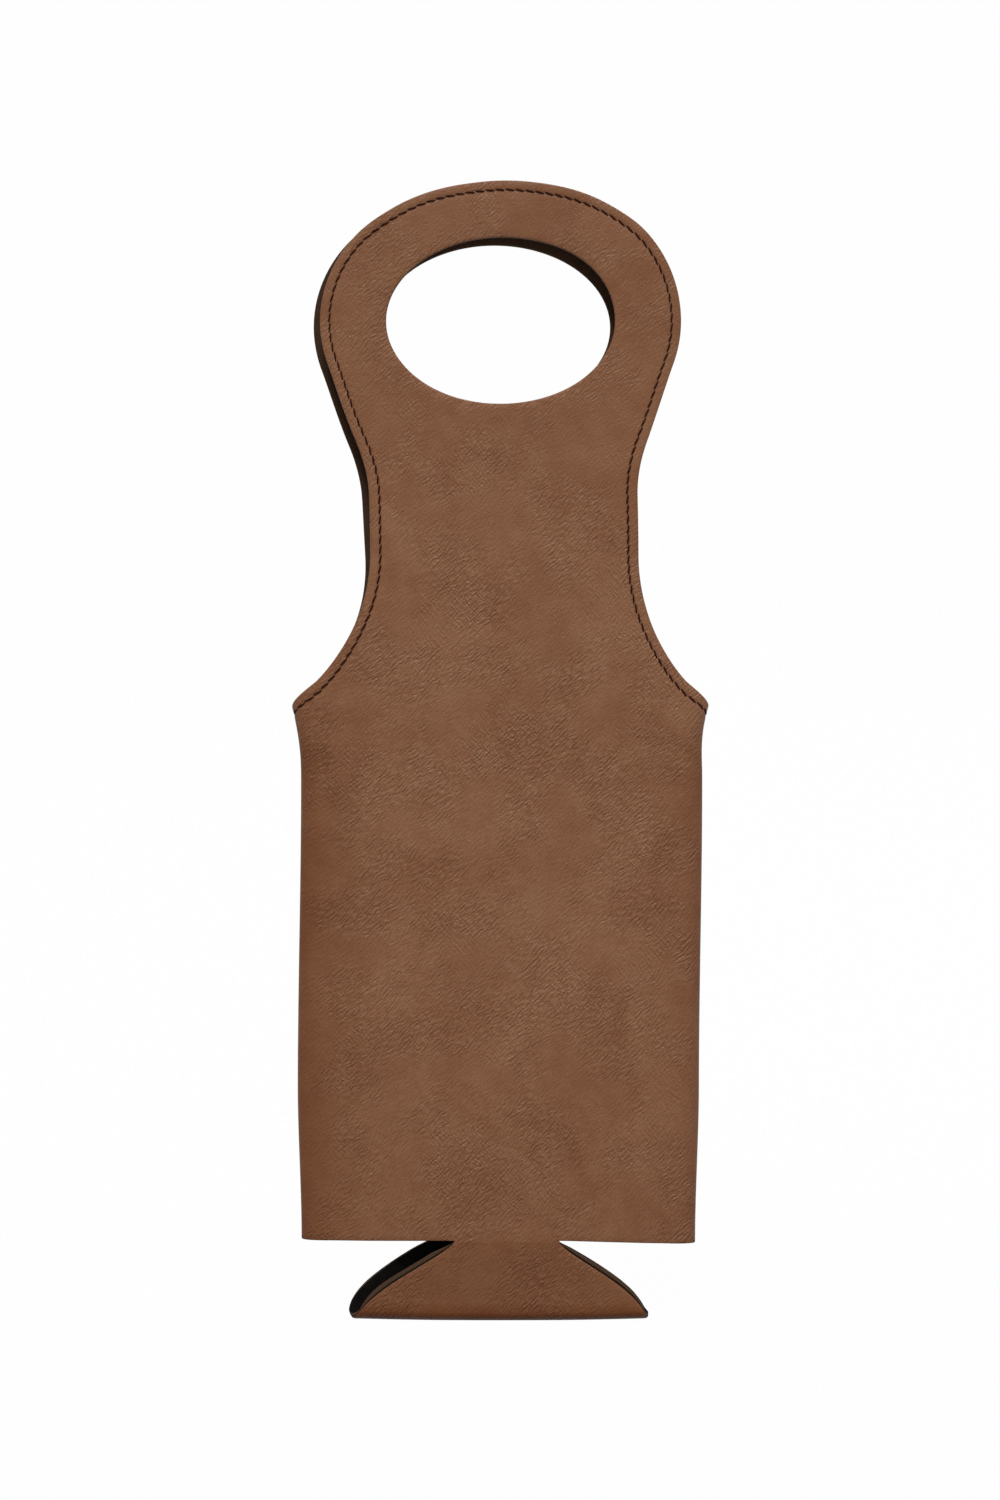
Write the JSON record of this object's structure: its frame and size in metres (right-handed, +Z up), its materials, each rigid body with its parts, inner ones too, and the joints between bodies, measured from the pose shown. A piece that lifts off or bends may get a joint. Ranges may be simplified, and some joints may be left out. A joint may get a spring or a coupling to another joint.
{
  "type": "bottle carrier",
  "caption": "Flat-folding leatherette bottle carrier: a lined sleeve with a base that folds flat and tall handle panels with an oval hand hole and a topstitched edge.",
  "frame": {"origin": "centre of the hand hole, midway between the two handle panels", "axes": "+Z up along the carrier, -Y out of its front panel, +X to the right as seen from the front"},
  "size_m": [0.144, 0.011, 0.4075],
  "materials": {
    "leatherette": "matte grained brown leatherette",
    "lining": "dark brown-black backing cloth",
    "thread": "dark brown sewing thread"
  },
  "bodies": {
    "front_wall": {"front_wall_leather": "leatherette", "front_wall_lining": "lining", "front_wall_topstitch": "thread"},
    "front_handle": {"front_handle_leather": "leatherette", "front_handle_lining": "lining", "front_handle_topstitch": "thread"},
    "left_front_side": {"left_front_side_leather": "leatherette", "left_front_side_lining": "lining", "left_front_side_topstitch": "thread", "left_seam_stitching": "thread"},
    "left_back_side": {"left_back_side_leather": "leatherette", "left_back_side_lining": "lining", "left_back_side_topstitch": "thread"},
    "back_wall": {"back_wall_leather": "leatherette", "back_wall_lining": "lining", "back_wall_topstitch": "thread"},
    "back_handle": {"back_handle_leather": "leatherette", "back_handle_lining": "lining", "back_handle_topstitch": "thread"},
    "right_back_side": {"right_back_side_leather": "leatherette", "right_back_side_lining": "lining", "right_back_side_topstitch": "thread"},
    "right_front_side": {"right_front_side_leather": "leatherette", "right_front_side_lining": "lining", "right_front_side_topstitch": "thread", "right_seam_stitching": "thread"},
    "front_base": {"front_base_leather": "leatherette", "front_base_lining": "lining"},
    "back_base": {"back_base_leather": "leatherette", "back_base_lining": "lining"}
  },
  "joints": [
    {"name": "bag_opening", "type": "hinge", "parent": "front_wall", "child": "left_front_side", "pos_m": [-0.049, -0.003, -0.2332], "axis": [0, 0, -1], "range_deg": [0, 82.5], "stiffness_Nm_per_rad": 0.02},
    {"name": "left_seam_fold", "type": "hinge", "parent": "left_front_side", "child": "left_back_side", "pos_m": [-0.07201, 0, -0.2332], "axis": [0, 0, 1], "range_deg": [0, 165]},
    {"name": "left_back_fold", "type": "hinge", "parent": "left_back_side", "child": "back_wall", "pos_m": [-0.049, 0.003, -0.2332], "axis": [0, 0, -1], "range_deg": [0, 82.5]},
    {"name": "right_front_fold", "type": "hinge", "parent": "front_wall", "child": "right_front_side", "pos_m": [0.049, -0.003, -0.2332], "axis": [0, 0, 1], "range_deg": [0, 82.5]},
    {"name": "right_back_fold", "type": "hinge", "parent": "back_wall", "child": "right_back_side", "pos_m": [0.049, 0.003, -0.2332], "axis": [0, 0, -1], "range_deg": [0, 82.5]},
    {"name": "front_base_fold", "type": "hinge", "parent": "front_wall", "child": "front_base", "pos_m": [0, -0.003, -0.3344], "axis": [1, 0, 0], "range_deg": [0, 82.5]},
    {"name": "back_base_fold", "type": "hinge", "parent": "back_wall", "child": "back_base", "pos_m": [0, 0.003, -0.3344], "axis": [-1, 0, 0], "range_deg": [0, 82.5]},
    {"name": "front_handle_fold", "type": "hinge", "parent": "front_wall", "child": "front_handle", "pos_m": [0, -0.0052, -0.0736], "axis": [1, 0, 0], "range_deg": [0, 75], "stiffness_Nm_per_rad": 0.06},
    {"name": "back_handle_fold", "type": "hinge", "parent": "back_wall", "child": "back_handle", "pos_m": [0, 0.0052, -0.0736], "axis": [-1, 0, 0], "range_deg": [0, 75], "stiffness_Nm_per_rad": 0.06}
  ],
  "couplings": [
    {"joint": "left_seam_fold", "follows": "bag_opening", "ratio": 2},
    {"joint": "left_back_fold", "follows": "bag_opening", "ratio": 1},
    {"joint": "right_front_fold", "follows": "bag_opening", "ratio": 1},
    {"joint": "right_back_fold", "follows": "bag_opening", "ratio": 1},
    {"joint": "front_base_fold", "follows": "bag_opening", "ratio": 1},
    {"joint": "back_base_fold", "follows": "bag_opening", "ratio": 1}
  ]
}
